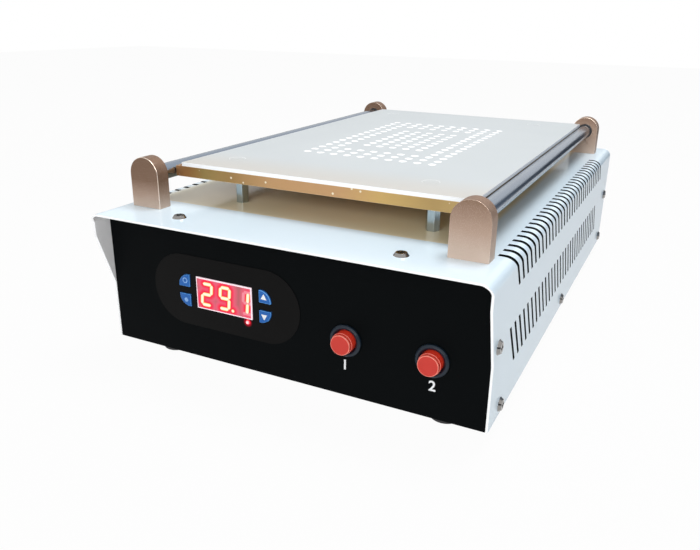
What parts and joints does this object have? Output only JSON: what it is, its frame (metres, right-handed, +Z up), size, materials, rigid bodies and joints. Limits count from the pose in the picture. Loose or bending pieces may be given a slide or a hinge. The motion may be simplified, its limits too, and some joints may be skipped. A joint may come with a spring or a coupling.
{
  "type": "screen separator hot plate",
  "caption": "Bench hot plate with a suction plate on pillars, a guide roller along each side, a sheet steel case with leaning vents and a control panel under a visor.",
  "frame": {"origin": "middle of the base on the floor plane, under the middle of the cover", "axes": "+Z up, -Y is the front with the control panel, +Y runs along the rollers to the mains inlet, +X to the right seen from the front"},
  "size_m": [0.2392, 0.372, 0.1211],
  "materials": {
    "white_coat": "glossy powder coat, cool white",
    "zinc_plate": "zinc plated sheet",
    "black_coat": "satin black powder coat",
    "screw_steel": "nickel plated",
    "black_rubber": "moulded rubber",
    "champagne_anodised": "blasted and anodised, bright cut edge",
    "bush_nylon": "moulded nylon",
    "chromed_rod": "hard chromed, ground",
    "plate_aluminium": "fine blasted, bright edges",
    "turned_steel": "nickel plated, turned",
    "gold_chromate": "iridescent yellow chromate",
    "ivory_plastic": "moulded",
    "heater_silicone": "silicone heater mat",
    "white_felt": "pressed fibre felt",
    "probe_steel": "drawn tube",
    "clear_silicone": "translucent silicone hose",
    "lead_sleeve": "sleeved leads",
    "overlay_film": "printed film",
    "display_case": "translucent moulding lit from inside",
    "display_window": "red filter, glowing",
    "digit_glow": "lit segments",
    "lamp_red": "lit lens",
    "key_blue": "moulded key with a printed sign",
    "switch_black": "moulded",
    "board_green": "lacquered board",
    "white_nylon": "moulded nylon",
    "collar_black": "polished",
    "nut_black": "moulded",
    "cap_red": "moulded",
    "spring_steel": "drawn wire",
    "pump_black": "moulded",
    "motor_steel": "zinc plated can",
    "core_iron": "varnished laminations with a taped winding",
    "relay_blue": "moulded",
    "terminal_green": "moulded",
    "socket_black": "moulded",
    "pin_brass": "nickel flashed",
    "rocker_black": "moulded"
  },
  "bodies": {
    "case": {"cover": "white_coat", "base_tray": "zinc_plate", "front_panel": "black_coat", "rear_panel": "white_coat", "case_screws": "screw_steel", "feet": "black_rubber", "foot_screws": "screw_steel", "front_left_post": "champagne_anodised", "front_right_post": "champagne_anodised", "rear_left_post": "champagne_anodised", "rear_right_post": "champagne_anodised", "post_screws": "screw_steel", "roller_bushes": "bush_nylon", "suction_plate": "plate_aluminium", "plate_screws": "plate_aluminium", "plate_spacers": "turned_steel", "plate_tray": "gold_chromate", "pillars": "turned_steel", "pillar_screws": "screw_steel", "vacuum_box": "ivory_plastic", "heater_mat": "heater_silicone", "insulation_felt": "white_felt", "temperature_probe": "probe_steel", "suction_hose": "clear_silicone", "grommets": "black_rubber", "internal_leads": "lead_sleeve", "controller_overlay": "overlay_film", "display_module": "display_case", "display_face": "display_window", "display_digits": "digit_glow", "indicator_led": "lamp_red", "key_switches": "switch_black", "controller_board": "board_green", "controller_spacers": "white_nylon", "left_button_housing": "collar_black", "right_button_housing": "collar_black", "button_nuts": "nut_black", "button_springs": "spring_steel", "pump_head": "pump_black", "pump_motor": "motor_steel", "pump_bracket": "zinc_plate", "pump_mounts": "black_rubber", "power_board": "board_green", "board_spacers": "white_nylon", "transformer": "core_iron", "relay": "relay_blue", "terminal_block": "terminal_green", "power_inlet": "socket_black", "inlet_pins": "pin_brass", "inlet_screws": "screw_steel", "rocker_housing": "socket_black"},
    "left_roller": {"left_roller": "chromed_rod"},
    "right_roller": {"right_roller": "chromed_rod"},
    "left_button": {"left_button_cap": "cap_red"},
    "right_button": {"right_button_cap": "cap_red"},
    "set_key": {"set_key": "key_blue"},
    "enter_key": {"enter_key": "key_blue"},
    "up_key": {"up_key": "key_blue"},
    "down_key": {"down_key": "key_blue"},
    "rocker": {"rocker": "rocker_black"}
  },
  "joints": [
    {"name": "left_roller_spin", "type": "hinge", "parent": "case", "child": "left_roller", "pos_m": [-0.0981, 0, 0.1099], "axis": [0, 1, 0], "continuous": true},
    {"name": "right_roller_spin", "type": "hinge", "parent": "case", "child": "right_roller", "pos_m": [0.0981, 0, 0.1099], "axis": [0, 1, 0], "continuous": true},
    {"name": "left_button_press", "type": "slide", "parent": "case", "child": "left_button", "axis": [0, 1, 0], "range_m": [0, 0.003], "stiffness_N_per_m": 600, "springref_m": -0.002},
    {"name": "right_button_press", "type": "slide", "parent": "case", "child": "right_button", "axis": [0, 1, 0], "range_m": [0, 0.003], "stiffness_N_per_m": 600, "springref_m": -0.002},
    {"name": "set_key_press", "type": "slide", "parent": "case", "child": "set_key", "axis": [0, 1, 0], "range_m": [0, 0.0005], "stiffness_N_per_m": 1500, "springref_m": -0.0005},
    {"name": "enter_key_press", "type": "slide", "parent": "case", "child": "enter_key", "axis": [0, 1, 0], "range_m": [0, 0.0005], "stiffness_N_per_m": 1500, "springref_m": -0.0005},
    {"name": "up_key_press", "type": "slide", "parent": "case", "child": "up_key", "axis": [0, 1, 0], "range_m": [0, 0.0005], "stiffness_N_per_m": 1500, "springref_m": -0.0005},
    {"name": "down_key_press", "type": "slide", "parent": "case", "child": "down_key", "axis": [0, 1, 0], "range_m": [0, 0.0005], "stiffness_N_per_m": 1500, "springref_m": -0.0005},
    {"name": "rocker_tip", "type": "hinge", "parent": "case", "child": "rocker", "pos_m": [-0.018, 0.1829, 0.042], "axis": [1, 0, 0], "range_deg": [-18, 0]}
  ]
}
